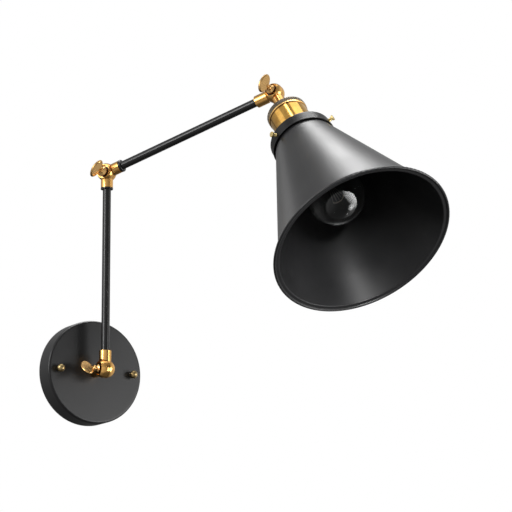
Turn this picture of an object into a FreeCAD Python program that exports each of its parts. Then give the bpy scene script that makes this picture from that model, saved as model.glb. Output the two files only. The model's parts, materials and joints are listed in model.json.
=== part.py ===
import FreeCAD, Part
import os
import re
import Sketcher
from FreeCAD import Placement, Rotation, Vector

# Swing arm wall lamp: a round black canopy, two thin arms on brass knuckles, and a black cone
# shade hung from a brass lampholder. Millimetres and degrees. X runs to the right along the wall,
# Y into the wall and Z up. The origin is the centre of the canopy's rim on the wall.

SIZES = {
    # Clearances: a shaft in its bore, a bolt in its through hole, two faces that turn past each other
    "running_fit": 0.05,
    "bolt_clearance": 0.3,
    "turning_gap": 0.4,
    # Canopy
    "canopy_diameter": 100,
    "canopy_depth": 20,
    "canopy_wall": 1.2,
    "canopy_edge_radius": 2.2,
    # Strip behind the canopy that is screwed to the wall
    "strip_length": 90,
    "strip_width": 16,
    "strip_thickness": 1.6,
    "strip_ring_diameter": 32,
    "strip_ring_bore": 20,
    "wall_slot_spacing": 60,
    "wall_slot_length": 10,
    "wall_slot_width": 4.5,
    "screw_boss_diameter": 7,
    "screw_boss_height": 4,
    "earth_screw_offset": 20.6,
    "earth_screw_diameter": 4,
    "earth_head_diameter": 6.8,
    "earth_head_height": 2.4,
    # Ball headed screws that hold the canopy on the strip
    "canopy_screw_spacing": 78.4,
    "canopy_screw_diameter": 4,
    "canopy_screw_tip": 0.4,
    "ball_head_diameter": 7.8,
    "ball_foot_diameter": 4.4,
    "ball_foot_height": 1.8,
    # Threaded nipples with their nuts and washer
    "nipple_diameter": 8,
    "nipple_bore": 5.4,
    "nipple_seat": 8,
    "nut_width": 13,
    "nut_thickness": 4,
    "nut_overhang": 2,
    "nipple_washer_diameter": 20,
    "nipple_washer_thickness": 1,
    # Knuckles, each split across its screw into a drum half and a domed half
    "knuckle_diameter": 17.6,
    "drum_depth": 7.2,
    "drum_land": 0.5,
    "dome_depth": 9.6,
    "recess_diameter": 12.6,
    "recess_depth": 2.2,
    "shank_diameter": 11.8,
    "wire_bore": 4.8,
    "tube_seat": 5.8,
    "base_reach": 40.1,
    "base_shank": 17.5,
    "elbow_lower_shank": 15.2,
    "elbow_upper_shank": 16,
    "head_shank": 20,
    # Thumbscrews with oval paddles
    "thumbscrew_diameter": 4,
    "thumbscrew_depth": 5.4,
    "thread_relief": 0.6,
    "spring_washer_diameter": 10.8,
    "spring_washer_thickness": 1,
    "hub_diameter": 8.8,
    "hub_height": 2.4,
    "hub_taper": 1.6,
    "stem_diameter": 3.8,
    "stem_bead_diameter": 6.2,
    "paddle_offset": 19.3,
    "paddle_span": 18.5,
    "paddle_depth": 12.6,
    "paddle_thickness": 2.6,
    "paddle_crown": 5.2,
    "base_paddle_angle": 44,
    "elbow_paddle_angle": -37,
    "head_paddle_angle": -20,
    # Arms
    "tube_diameter": 8,
    "tube_bore": 6,
    "lower_arm": 193.2,
    "upper_arm": 192.9,
    "lock_ring_gap": 0.1,
    "lower_ring_diameter": 12,
    "lower_ring_thickness": 1.5,
    "upper_ring_diameter": 12.2,
    "upper_ring_thickness": 2.6,
    "upper_ring_edge": 1,
    # Resting angles of the joints
    "swing_angle": 30.1,
    "rise_angle": 16.1,
    "roll_angle": -17.2,
    "droop_angle": 71.6,
    # Lampholder, measured along the shade's axis
    "neck_reach": 28.5,
    "cap_diameter": 39.2,
    "cap_height": 7,
    "cap_plate": 1.5,
    "cap_lip_height": 1.3,
    "cap_lip_depth": 0.5,
    "cap_edge_radius": 1,
    "shell_diameter": 37,
    "shell_wall": 0.7,
    "shell_inset": 3,
    "shell_length": 65,
    "shell_bead": 0.9,
    "collar_seat": 36.5,
    "insulator_floor": 10,
    "contact_shell_wall": 0.5,
    "contact_diameter": 6,
    "contact_height": 3,
    # Shade collar, its ring nut and its three screws
    "collar_diameter": 60.4,
    "collar_wall": 1,
    "collar_edge_radius": 1.8,
    "collar_height": 10.8,
    "collar_rim_height": 1.6,
    "collar_rim_width": 0.5,
    "ring_nut_diameter": 41.2,
    "ring_nut_thickness": 4,
    "shade_screw_diameter": 3.5,
    "shade_screw_drop": 5.3,
    "shade_screw_angle": 27,
    "shade_screw_stand": 3.4,
    "shade_screw_head_diameter": 5.4,
    "shade_screw_head_thickness": 1.8,
    # Shade
    "shade_neck_diameter": 55,
    "shade_wall": 0.8,
    "shade_lip": 1,
    "shade_drop": 1.2,
    "shade_neck_height": 10.8,
    "shade_cone_diameter": 58.2,
    "shade_cone_height": 133.7,
    "shade_mouth_diameter": 157.4,
    "shade_flange_width": 5.2,
    "shade_bead_radius": 1.3,
    "shade_edge_radius": 0.8,
    # Bulb
    "bulb_cap_diameter": 26,
    "bulb_cap_height": 23,
    "bulb_tip_diameter": 9.6,
    "bulb_tip_height": 1.2,
    "bulb_skirt_height": 3,
    "glass_diameter": 55,
    "glass_wall": 0.8,
    "glass_neck_diameter": 25,
    "glass_shoulder_diameter": 51.8,
    "glass_neck_height": 40.5,
    "stem_foot_diameter": 18,
    "stem_foot_height": 6,
    "stem_post_diameter": 5,
    "stem_post_height": 34,
    "filament_wire": 0.7,
    "filament_rise": 20,
    "filament_angle": 16,
}

doc = FreeCAD.newDocument("SwingArmWallLamp")
sheet = doc.addObject("Spreadsheet::Sheet", "Sizes")
for row, (alias, size) in enumerate(SIZES.items(), start=1):
    sheet.set(f"A{row}", str(size))
    sheet.setAlias(f"A{row}", alias)
doc.recompute()

UP = Vector(0, 0, 1)
OUT = Vector(0, -1, 0)
RIGHT = Vector(1, 0, 0)
LOCAL_X = Vector(1, 0, 0)
LOCAL_Z = Vector(0, 0, 1)
HERE = Placement()
nodes = []


def value(expression):
    """The present number of an expression in the sizes."""
    return float(sheet.evalExpression(expression))


def bind(piece, name, expression):
    """Ties one property of a piece to an expression in the sizes."""
    cells = re.sub(r"[a-z]\w*", lambda word: f"Sizes.{word[0]}" if word[0] in SIZES else word[0],
                   expression)
    piece.setExpression(name, cells)


def at(x="0", y="0", z="0", direction=LOCAL_Z):
    """A place inside a piece's own frame, with the local Z axis turned to a direction."""
    return Placement(Vector(value(x), value(y), value(z)), Rotation(LOCAL_Z, direction))


def axes(origin, z_axis, x_axis):
    """The frame of a piece that is built about its own Z axis."""
    return Placement(origin, Rotation(x_axis, z_axis.cross(x_axis), z_axis, "ZXY"))


def node(label, piece, place=HERE):
    """Names a finished piece and puts it in its place on the lamp."""
    piece.Label = label
    piece.Placement = place
    nodes.append(piece)
    return piece


def cylinder(radius, height, place=HERE):
    piece = doc.addObject("Part::Cylinder", "Round")
    bind(piece, "Radius", radius)
    bind(piece, "Height", height)
    piece.Placement = place
    return piece


def block(length, width, height, place=HERE):
    """A block centred on its place along X and Y."""
    piece = doc.addObject("Part::Box", "Block")
    bind(piece, "Length", length)
    bind(piece, "Width", width)
    bind(piece, "Height", height)
    corner = Placement(Vector(-value(length) / 2, -value(width) / 2, 0), Rotation())
    piece.Placement = place.multiply(corner)
    return piece


def union(pieces):
    joined = doc.addObject("Part::MultiFuse", "Joined")
    joined.Shapes = pieces
    return joined


def cut(base, tools):
    result = doc.addObject("Part::Cut", "Cut")
    result.Base = base
    result.Tool = tools[0] if len(tools) == 1 else union(tools)
    return result


def common(base, tool):
    result = doc.addObject("Part::Common", "Common")
    result.Base = base
    result.Tool = tool
    return result


def group(pieces):
    together = doc.addObject("Part::Compound", "Group")
    together.Links = pieces
    return together


def arc_between(start, end, radius, side):
    """The short arc of a radius between two points, bulging to the left (1) or right (-1)."""
    chord = end - start
    left = Vector(-chord.y, chord.x, 0).normalize()
    sagitta = radius - (radius * radius - chord.Length * chord.Length / 4) ** 0.5
    return Part.Arc(start, (start + end) / 2 + left * (side * sagitta), end)


def turned(outline):
    """A body turned about its Z axis. Each corner of the closed outline is (radius, height), or
    (radius, height, arc radius, side) where the run to the next corner is an arc."""
    body = doc.addObject("PartDesign::Body", "Turned")
    profile = body.newObject("Sketcher::SketchObject", "Profile")
    plane = next(part for part in body.Origin.OriginFeatures if part.Role == "XZ_Plane")
    profile.AttachmentSupport = [(plane, "")]
    profile.MapMode = "FlatFace"
    corners = [Vector(value(corner[0]), value(corner[1]), 0) for corner in outline]
    runs = []
    for index, corner in enumerate(outline):
        start, end = corners[index], corners[(index + 1) % len(corners)]
        if len(corner) == 4:
            line = arc_between(start, end, value(corner[2]), corner[3])
        else:
            line = Part.LineSegment(start, end)
        run = profile.addGeometry(line, False)
        first = 1 if profile.getPoint(run, 1).distanceToPoint(start) < 1e-6 else 2
        runs.append((run, first, 3 - first))
    for index, (run, first, last) in enumerate(runs):
        following, following_first, _ = runs[(index + 1) % len(runs)]
        profile.addConstraint(Sketcher.Constraint("Coincident", run, last, following, following_first))
        for kind, expression in zip(("DistanceX", "DistanceY"), outline[index]):
            rule = Sketcher.Constraint(kind, -1, 1, run, first, value(expression))
            bind(profile, f"Constraints[{profile.addConstraint(rule)}]", expression)
        if len(outline[index]) == 4:
            radius = outline[index][2]
            rule = Sketcher.Constraint("Radius", run, value(radius))
            bind(profile, f"Constraints[{profile.addConstraint(rule)}]", radius)
    turn = body.newObject("PartDesign::Revolution", "Turn")
    turn.Profile = profile
    turn.ReferenceAxis = (profile, ["V_Axis"])
    turn.Angle = 360
    return body


def ring(inner, outer, bottom, top):
    """A turned ring between two radii and two heights."""
    return turned([(inner, bottom), (outer, bottom), (outer, top), (inner, top)])


def hex_nut(bottom):
    """A six sided nut on a nipple."""
    prism = doc.addObject("Part::Prism", "Hex")
    prism.Polygon = 6
    bind(prism, "Circumradius", "nut_width / sqrt(3)")
    bind(prism, "Height", "nut_thickness")
    prism.Placement = at(z=bottom)
    return cut(prism, [cylinder(f"{NIPPLE} + running_fit", "nut_thickness", at(z=bottom))])


# Radii and heights that several pieces share
NIPPLE = "(nipple_diameter / 2)"
TUBE = "(tube_diameter / 2)"
KNUCKLE = "(knuckle_diameter / 2)"
SHANK = "(shank_diameter / 2)"
BOLT = "(thumbscrew_diameter / 2)"
SPLIT = "(turning_gap / 2)"
RECESS_FLOOR = "(drum_depth - recess_depth)"
CANOPY_SCREW = "(canopy_screw_diameter / 2)"
CANOPY_INSIDE = "(canopy_depth - canopy_wall)"
SHELL = "(shell_diameter / 2)"
SHELL_INSIDE = "(shell_diameter / 2 - shell_wall)"
SHELL_START = "(neck_reach + shell_inset)"
SHELL_END = "(neck_reach + shell_inset + shell_length)"
SEAT = "(neck_reach + collar_seat)"
SOCKET = "(bulb_cap_diameter / 2 + bolt_clearance)"
CONTACT_SHELL = f"({SOCKET} + contact_shell_wall)"
INSULATOR_INSIDE = f"({CONTACT_SHELL} + running_fit)"
BULB_START = f"({SHELL_END} - bulb_cap_height + bulb_skirt_height)"
INSULATOR_FLOOR = f"({BULB_START} - contact_height)"
COLLAR = "(collar_diameter / 2)"
COLLAR_END = f"({SEAT} + collar_height)"
SHADE_NECK = "(shade_neck_diameter / 2)"
SHADE_TOP = f"({SEAT} + shade_drop)"
CONE_TOP = f"({SHADE_TOP} + shade_neck_height)"
CONE_END = f"({CONE_TOP} + shade_cone_height)"
SCREW_HEIGHT = f"({SEAT} + shade_screw_drop)"
SCREW_HEAD = f"({COLLAR} + shade_screw_stand)"


def canopy():
    edge = "(canopy_diameter / 2 - canopy_edge_radius)"
    wall = "(canopy_diameter / 2 - canopy_wall)"
    inner_edge = "canopy_edge_radius - canopy_wall"
    dish = turned([
        (wall, "0"),
        ("canopy_diameter / 2", "0"),
        ("canopy_diameter / 2", "canopy_depth - canopy_edge_radius", "canopy_edge_radius", -1),
        (edge, "canopy_depth"),
        (f"{NIPPLE} + bolt_clearance", "canopy_depth"),
        (f"{NIPPLE} + bolt_clearance", CANOPY_INSIDE),
        (edge, CANOPY_INSIDE, inner_edge, 1),
        (wall, "canopy_depth - canopy_edge_radius"),
    ])
    holes = [
        cylinder(f"{CANOPY_SCREW} + bolt_clearance", "canopy_depth + canopy_wall",
                 at(x=f"{side} * canopy_screw_spacing / 2"))
        for side in (-1, 1)
    ]
    node("canopy", cut(dish, holes), wall_frame)


def wall_strip():
    round_ends = "strip_length / 2 - strip_width / 2"
    solids = [
        block("strip_length - strip_width", "strip_width", "strip_thickness"),
        cylinder("strip_ring_diameter / 2", "strip_thickness"),
    ]
    holes = [cylinder("strip_ring_bore / 2", "strip_thickness")]
    for side in (-1, 1):
        solids.append(cylinder("strip_width / 2", "strip_thickness", at(x=f"{side} * ({round_ends})")))
        screw = at(x=f"{side} * canopy_screw_spacing / 2")
        solids.append(cylinder("screw_boss_diameter / 2", "strip_thickness + screw_boss_height", screw))
        holes.append(cylinder(f"{CANOPY_SCREW} + running_fit",
                              "strip_thickness + screw_boss_height", screw))
        slot = f"{side} * wall_slot_spacing / 2"
        half_run = "(wall_slot_length - wall_slot_width) / 2"
        holes.append(block("wall_slot_length - wall_slot_width", "wall_slot_width",
                           "strip_thickness", at(x=slot)))
        for end in (-1, 1):
            holes.append(cylinder("wall_slot_width / 2", "strip_thickness",
                                  at(x=f"{slot} + {end} * {half_run}")))
    holes.append(cylinder("earth_screw_diameter / 2 + running_fit", "strip_thickness",
                          at(x="earth_screw_offset")))
    node("wall_strip", cut(union(solids), holes), wall_frame)
    earth_screw = turned([
        ("0", "canopy_screw_tip"),
        ("earth_screw_diameter / 2", "canopy_screw_tip"),
        ("earth_screw_diameter / 2", "strip_thickness"),
        ("earth_head_diameter / 2", "strip_thickness"),
        ("earth_head_diameter / 2", "strip_thickness + earth_head_height"),
        ("0", "strip_thickness + earth_head_height"),
    ])
    node("earth_screw", earth_screw, wall_frame.multiply(at(x="earth_screw_offset")))


def canopy_screws():
    foot_top = "(canopy_depth + ball_foot_height)"
    ball = "(ball_head_diameter / 2)"
    ball_top = f"{foot_top} + sqrt({ball} ^ 2 - (ball_foot_diameter / 2) ^ 2) + {ball}"
    screws = []
    for side in (-1, 1):
        screw = turned([
            ("0", "canopy_screw_tip"),
            (CANOPY_SCREW, "canopy_screw_tip"),
            (CANOPY_SCREW, "canopy_depth"),
            ("ball_foot_diameter / 2", "canopy_depth"),
            ("ball_foot_diameter / 2", foot_top, ball, -1),
            ("0", ball_top),
        ])
        screw.Placement = at(x=f"{side} * canopy_screw_spacing / 2")
        screws.append(screw)
    node("canopy_screws", group(screws), wall_frame)


def base_nipple():
    nut_top = f"({CANOPY_INSIDE} - nipple_washer_thickness)"
    nut_bottom = f"({nut_top} - nut_thickness)"
    nipple = ring("nipple_bore / 2", NIPPLE, f"{nut_bottom} - nut_overhang", "canopy_depth + nipple_seat")
    node("base_nipple", nipple, wall_frame)
    washer = ring(f"{NIPPLE} + running_fit", "nipple_washer_diameter / 2", nut_top, CANOPY_INSIDE)
    node("base_nipple_washer", washer, wall_frame)
    node("base_nipple_nut", hex_nut(nut_bottom), wall_frame)


def shank(reach, start, keep_out_bottom, keep_out_top):
    """A round shank along X whose inner end clears the other half of its knuckle."""
    rod = cylinder(SHANK, f"{reach} - {start}", at(x=start, direction=LOCAL_X))
    keep_out = cylinder(f"{KNUCKLE} + turning_gap", f"{keep_out_top} - ({keep_out_bottom})",
                        at(z=keep_out_bottom))
    return cut(rod, [keep_out])


def shank_bores(reach, seat, radius):
    """The bore for a tube or nipple in a shank's end, and the way through it for the wires."""
    return [
        cylinder(f"{radius} + running_fit", seat, at(x=f"{reach} - {seat}", direction=LOCAL_X)),
        cylinder("wire_bore / 2", reach, at(direction=LOCAL_X)),
    ]


def drum_half(label, place, reach, seat, radius):
    """The half of a knuckle on the thumbscrew's side, rounded to a flat face and recessed for the hub."""
    face = "(recess_diameter / 2 + drum_land)"
    drum = turned([
        (f"{BOLT} + bolt_clearance", SPLIT),
        (KNUCKLE, SPLIT),
        (KNUCKLE, f"drum_depth - sqrt({KNUCKLE} ^ 2 - {face} ^ 2)", KNUCKLE, -1),
        (face, "drum_depth"),
        ("recess_diameter / 2", "drum_depth"),
        ("recess_diameter / 2", RECESS_FLOOR),
        (f"{BOLT} + bolt_clearance", RECESS_FLOOR),
    ])
    rod = shank(reach, "(recess_diameter / 2 + running_fit)", f"-{SHANK} - turning_gap", SPLIT)
    node(label, cut(union([drum, rod]), shank_bores(reach, seat, radius)), place)


def dome_half(label, place, reach, seat, radius):
    """The far half of a knuckle, with the blind hole that the thumbscrew threads into."""
    rise = f"(dome_depth - {SPLIT})"
    dome_radius = f"(({KNUCKLE}) ^ 2 + {rise} ^ 2) / (2 * {rise})"
    hole = f"({BOLT} + running_fit)"
    hole_end = "-(thumbscrew_depth + thread_relief)"
    dome = turned([
        (hole, f"-{SPLIT}"),
        (hole, hole_end),
        ("0", hole_end),
        ("0", "-dome_depth", dome_radius, -1),
        (KNUCKLE, f"-{SPLIT}"),
    ])
    rod = shank(reach, f"({hole} + thread_relief)", f"-{SPLIT}", f"{SHANK} + turning_gap")
    node(label, cut(union([dome, rod]), shank_bores(reach, seat, radius)), place)


def thumbscrew(label, place):
    """A paddle on a beaded stem, its hub, and the bolt through the knuckle."""
    hub = f"({RECESS_FLOOR} + spring_washer_thickness)"
    taper = f"({hub} + hub_height)"
    stem = f"({taper} + hub_taper)"
    paddle_edge = "(paddle_offset - paddle_depth / 2)"
    stem_radius = "stem_diameter / 2"
    bead_middle = f"({stem} + {paddle_edge}) / 2"
    bead_step = "(stem_bead_diameter - stem_diameter) / 2"
    bolt = turned([
        ("0", "-thumbscrew_depth"),
        (BOLT, "-thumbscrew_depth"),
        (BOLT, hub),
        ("hub_diameter / 2", hub),
        ("hub_diameter / 2", taper),
        (stem_radius, stem),
        (stem_radius, f"{bead_middle} - {bead_step}", bead_step, -1),
        ("stem_bead_diameter / 2", bead_middle, bead_step, -1),
        (stem_radius, f"{bead_middle} + {bead_step}"),
        (stem_radius, f"{paddle_edge} + paddle_thickness"),
        ("0", f"{paddle_edge} + paddle_thickness"),
    ])
    crown = doc.addObject("Part::Ellipsoid", "Crown")
    bind(crown, "Radius1", "paddle_depth / 2")
    bind(crown, "Radius2", "paddle_span / 2")
    bind(crown, "Radius3", "paddle_crown / 2")
    crown.Placement = at(z="paddle_offset")
    slab = block("paddle_span * 2", "paddle_thickness", "paddle_offset * 2")
    node(label, union([bolt, common(crown, slab)]), place)


def spring_washer(label, place):
    washer = ring(f"{BOLT} + running_fit", "spring_washer_diameter / 2",
                  RECESS_FLOOR, f"{RECESS_FLOOR} + spring_washer_thickness")
    node(label, washer, place)


def knuckle(name, origin, axis, inward, inward_seat, outward, outward_seat, paddle_turn):
    """A whole knuckle: both halves on their shanks, the spring washer and the thumbscrew.
    A shank's seat is (reach, bore depth, radius of what is seated in it)."""
    drum_half(f"{name}_knuckle_drum", axes(origin, axis, inward), *inward_seat)
    dome_half(f"{name}_knuckle_dome", axes(origin, axis, outward), *outward_seat)
    upright = (UP - axis * UP.dot(axis)).normalize()
    screw = axes(origin, axis, Rotation(axis, value(paddle_turn)).multVec(upright))
    spring_washer(f"{name}_spring_washer", screw)
    thumbscrew(f"{name}_thumbscrew", screw)


def tube(label, place, start, end):
    node(label, ring("tube_bore / 2", TUBE, start, end), place)


def arms():
    lower_end = "(lower_arm - elbow_lower_shank)"
    upper_start = "elbow_upper_shank"
    tube("lower_tube", axes(base, lower_way, RIGHT),
         "base_shank - tube_seat", f"{lower_end} + tube_seat - lock_ring_gap")
    tube("upper_tube", axes(elbow, upper_way, elbow_axis),
         f"{upper_start} - tube_seat + lock_ring_gap", "upper_arm - head_shank + tube_seat")
    lower_ring = ring(f"{TUBE} + running_fit", "lower_ring_diameter / 2",
                      f"{lower_end} - lock_ring_gap - lower_ring_thickness", f"{lower_end} - lock_ring_gap")
    node("lower_lock_ring", lower_ring, axes(base, lower_way, RIGHT))
    ring_start = f"({upper_start} + lock_ring_gap)"
    ring_end = f"({ring_start} + upper_ring_thickness)"
    ring_radius = "upper_ring_diameter / 2"
    upper_ring = turned([
        (f"{TUBE} + running_fit", ring_start),
        (f"{ring_radius} - upper_ring_edge", ring_start, "upper_ring_edge", -1),
        (ring_radius, f"{ring_start} + upper_ring_edge"),
        (ring_radius, f"{ring_end} - upper_ring_edge", "upper_ring_edge", -1),
        (f"{ring_radius} - upper_ring_edge", ring_end),
        (f"{TUBE} + running_fit", ring_end),
    ])
    node("upper_lock_ring", upper_ring, axes(elbow, upper_way, elbow_axis))


def lampholder():
    """Knurled cap on the neck, brass shell, insulator and the contacts for the bulb."""
    cap = "cap_diameter / 2"
    cap_end = "(neck_reach + cap_height)"
    cap_inside = f"{SHELL} + running_fit"
    lip = f"{cap} - cap_lip_depth"
    knurl_end = f"{cap_end} - cap_lip_height"
    node("lampholder_cap", turned([
        (f"{NIPPLE} + running_fit", "neck_reach"),
        (f"{cap} - cap_edge_radius", "neck_reach", "cap_edge_radius", -1),
        (cap, "neck_reach + cap_edge_radius"),
        (cap, knurl_end),
        (lip, knurl_end),
        (lip, cap_end),
        (cap_inside, cap_end),
        (cap_inside, "neck_reach + cap_plate"),
        (f"{NIPPLE} + running_fit", "neck_reach + cap_plate"),
    ]), head_frame)
    nut_start = "(neck_reach + cap_plate)"
    nut_end = f"({nut_start} + nut_thickness)"
    nipple = ring("nipple_bore / 2", NIPPLE, "neck_reach - nipple_seat", f"{nut_end} + nut_overhang")
    node("lampholder_nipple", nipple, head_frame)
    node("lampholder_nut", hex_nut(nut_start), head_frame)
    bead = f"({SHELL} + shell_bead)"
    node("lampholder_shell", turned([
        (SHELL_INSIDE, SHELL_START),
        (SHELL, SHELL_START),
        (SHELL, f"{SEAT} - 2 * shell_bead", "shell_bead", 1),
        (bead, f"{SEAT} - shell_bead"),
        (bead, SEAT),
        (SHELL, SEAT),
        (SHELL, SHELL_END),
        (SHELL_INSIDE, SHELL_END),
    ]), head_frame)
    insulator = f"({SHELL_INSIDE} - running_fit)"
    node("lampholder_insulator", turned([
        ("0", f"{INSULATOR_FLOOR} - insulator_floor"),
        (insulator, f"{INSULATOR_FLOOR} - insulator_floor"),
        (insulator, SHELL_END),
        (INSULATOR_INSIDE, SHELL_END),
        (INSULATOR_INSIDE, INSULATOR_FLOOR),
        ("0", INSULATOR_FLOOR),
    ]), head_frame)
    node("contact_shell", ring(SOCKET, CONTACT_SHELL, INSULATOR_FLOOR, SHELL_END), head_frame)
    node("centre_contact", turned([
        ("0", INSULATOR_FLOOR),
        ("contact_diameter / 2", INSULATOR_FLOOR),
        ("contact_diameter / 2", BULB_START),
        ("0", BULB_START),
    ]), head_frame)


def shade_collar():
    """The flat topped collar on the lampholder, its ring nut and the screws that hold the shade."""
    hole = f"{SHELL} + running_fit"
    shoulder = f"({COLLAR} - collar_edge_radius)"
    shoulder_end = f"({SEAT} + collar_edge_radius)"
    rim = f"({COLLAR} + collar_rim_width)"
    inside = f"({COLLAR} - collar_wall)"
    cup = turned([
        (hole, SEAT),
        (shoulder, SEAT, "collar_edge_radius", -1),
        (COLLAR, shoulder_end),
        (COLLAR, f"{COLLAR_END} - collar_rim_height"),
        (rim, f"{COLLAR_END} - collar_rim_height"),
        (rim, COLLAR_END),
        (inside, COLLAR_END),
        (inside, shoulder_end, "collar_edge_radius - collar_wall", 1),
        (shoulder, f"{SEAT} + collar_wall"),
        (hole, f"{SEAT} + collar_wall"),
    ])
    screw_frames = []
    for index in range(3):
        turn = Rotation(LOCAL_Z, value("shade_screw_angle") + index * 120)
        screw_frames.append(Placement(at(z=SCREW_HEIGHT).Base, turn.multiply(Rotation(LOCAL_Z, LOCAL_X))))
    tapped = "shade_screw_diameter / 2 + running_fit"
    holes = [cylinder(tapped, SCREW_HEAD, frame) for frame in screw_frames]
    node("shade_collar", cut(cup, holes), head_frame)
    node("shade_ring_nut",
         ring(f"{SHELL} + running_fit", "ring_nut_diameter / 2",
              f"{SEAT} + collar_wall", f"{SEAT} + collar_wall + ring_nut_thickness"), head_frame)
    for index, frame in enumerate(screw_frames, start=1):
        screw = turned([
            ("0", f"{SHADE_NECK} + running_fit"),
            ("shade_screw_diameter / 2", f"{SHADE_NECK} + running_fit"),
            ("shade_screw_diameter / 2", SCREW_HEAD),
            ("shade_screw_head_diameter / 2", SCREW_HEAD),
            ("shade_screw_head_diameter / 2", f"{SCREW_HEAD} + shade_screw_head_thickness"),
            ("0", f"{SCREW_HEAD} + shade_screw_head_thickness"),
        ])
        node(f"shade_screw_{index}", screw, head_frame.multiply(frame))


def shade():
    """A cone of thin sheet with a lipped neck and a flanged mouth that ends in a rolled bead."""
    mouth = "shade_mouth_diameter / 2"
    mouth_inside = f"{mouth} - shade_wall"
    rim = "(shade_mouth_diameter / 2 + shade_flange_width)"
    bead = "shade_bead_radius"
    flange = f"({CONE_END} + {bead})"
    inside = f"({SHADE_NECK} - shade_wall)"
    cone = "(shade_cone_diameter / 2)"
    step = f"({cone} - {SHADE_NECK})"
    node("shade", turned([
        (inside, SHADE_TOP),
        (f"{SHADE_NECK} + shade_lip", SHADE_TOP),
        (f"{SHADE_NECK} + shade_lip", f"{SHADE_TOP} + shade_wall"),
        (SHADE_NECK, f"{SHADE_TOP} + shade_wall"),
        (SHADE_NECK, f"{CONE_TOP} - {step}"),
        (cone, CONE_TOP),
        (mouth, CONE_END),
        (f"{rim} - {bead}", CONE_END, bead, -1),
        (rim, flange, bead, -1),
        (f"{rim} - {bead}", f"{flange} + {bead}", bead, -1),
        (f"{rim} - 2 * {bead}", flange),
        (f"{mouth_inside} + shade_edge_radius", flange, "shade_edge_radius", -1),
        (mouth_inside, f"{flange} - shade_edge_radius"),
        (f"{cone} - shade_wall", f"{CONE_TOP} + shade_wall / 2"),
        (inside, f"{CONE_TOP} - {step} + shade_wall / 2"),
    ]), head_frame)


def bulb():
    """A clear bulb: screw cap, blown glass, and the glass stem that carries the filament."""
    cap = "bulb_cap_diameter / 2"
    skirt = f"({BULB_START} + bulb_tip_height)"
    cap_end = f"({BULB_START} + bulb_cap_height)"
    node("bulb_cap", turned([
        ("0", BULB_START),
        ("bulb_tip_diameter / 2", BULB_START),
        ("bulb_tip_diameter / 2", skirt),
        (cap, f"{skirt} + bulb_skirt_height"),
        (cap, cap_end),
        ("0", cap_end),
    ]), head_frame)
    globe = "glass_diameter / 2"
    shoulder = "glass_shoulder_diameter / 2"
    shoulder_height = f"({cap_end} + glass_neck_height)"
    centre = f"({shoulder_height} + sqrt(({globe}) ^ 2 - ({shoulder}) ^ 2))"
    inner_globe = f"({globe} - glass_wall)"
    inner_shoulder = f"({shoulder} - glass_wall)"
    inner_height = f"({centre} - sqrt({inner_globe} ^ 2 - {inner_shoulder} ^ 2))"
    neck = "glass_neck_diameter / 2"
    node("bulb_glass", turned([
        (f"{neck} - glass_wall", cap_end),
        (neck, cap_end),
        (shoulder, shoulder_height, globe, -1),
        (globe, centre, globe, -1),
        ("0", f"{centre} + {globe}"),
        ("0", f"{centre} + {inner_globe}", inner_globe, 1),
        (inner_globe, centre, inner_globe, 1),
        (inner_shoulder, inner_height),
    ]), head_frame)
    post_end = f"({cap_end} + stem_post_height)"
    node("bulb_stem", turned([
        ("0", cap_end),
        ("stem_foot_diameter / 2", cap_end),
        ("stem_post_diameter / 2", f"{cap_end} + stem_foot_height"),
        ("stem_post_diameter / 2", post_end),
        ("0", post_end),
    ]), head_frame)
    wire = "filament_wire / 2"
    lead_start = f"({post_end} + {wire} * sin(filament_angle * 1deg))"
    leads = []
    for side in (-1, 1):
        lean = Rotation(Vector(0, 1, 0), side * value("filament_angle")).multVec(LOCAL_Z)
        lead_length = "filament_rise / cos(filament_angle * 1deg)"
        leads.append(cylinder(wire, lead_length, at(z=lead_start, direction=lean)))
    tip = "filament_rise * tan(filament_angle * 1deg)"
    leads.append(cylinder(wire, f"2 * {tip}",
                          at(x=f"-{tip}", z=f"{lead_start} + filament_rise", direction=LOCAL_X)))
    node("bulb_filament", union(leads), head_frame)


# Joint centres, axes and the way that each arm points at rest
base = Vector(0, -value("base_reach"), 0)
base_axis = Vector(-1, 0, 0)
lower_way = UP
elbow = base + lower_way * value("lower_arm")
swing = Rotation(UP, value("swing_angle"))
elbow_axis = swing.multVec(base_axis)
upper_way = Rotation(elbow_axis, value("rise_angle")).multVec(swing.multVec(OUT))
head = elbow + upper_way * value("upper_arm")
head_axis = Rotation(upper_way, value("roll_angle")).multVec(elbow_axis)
shade_way = Rotation(head_axis, -value("droop_angle")).multVec(upper_way)

wall_frame = axes(Vector(), OUT, RIGHT)
head_frame = axes(head, shade_way, head_axis)

canopy()
wall_strip()
canopy_screws()
base_nipple()
knuckle("base", base, base_axis, OUT * -1, ("(base_reach - canopy_depth)", "nipple_seat", NIPPLE),
        lower_way, ("base_shank", "tube_seat", TUBE), "base_paddle_angle")
knuckle("elbow", elbow, elbow_axis, lower_way * -1, ("elbow_lower_shank", "tube_seat", TUBE),
        upper_way, ("elbow_upper_shank", "tube_seat", TUBE), "elbow_paddle_angle")
knuckle("head", head, head_axis, upper_way * -1, ("head_shank", "tube_seat", TUBE),
        shade_way, ("neck_reach", "nipple_seat", NIPPLE), "head_paddle_angle")
arms()
lampholder()
shade_collar()
shade()
bulb()
doc.recompute()

faults = [item.Label for item in doc.Objects if {"Invalid", "Error"} & set(item.State)]
faults += [item.Label for item in nodes if item.Shape.isNull() or not item.Shape.isValid()]
if faults:
    raise RuntimeError("pieces that failed: " + ", ".join(faults))

os.makedirs("parts", exist_ok=True)
for item in nodes:
    item.Shape.exportStep(f"parts/{item.Label}.step")
    print(item.Label, len(item.Shape.Solids), round(item.Shape.Volume, 1))
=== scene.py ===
"""Looks of a swing arm wall lamp: powder coated canopy, arms and cone shade, aged brass knuckles
and lampholder, and a clear bulb. Metres, in the lamp's own frame: X along the wall, Y into it, Z up."""

import json
import math

import bmesh
import bpy
from mathutils import Matrix, Vector

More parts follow.
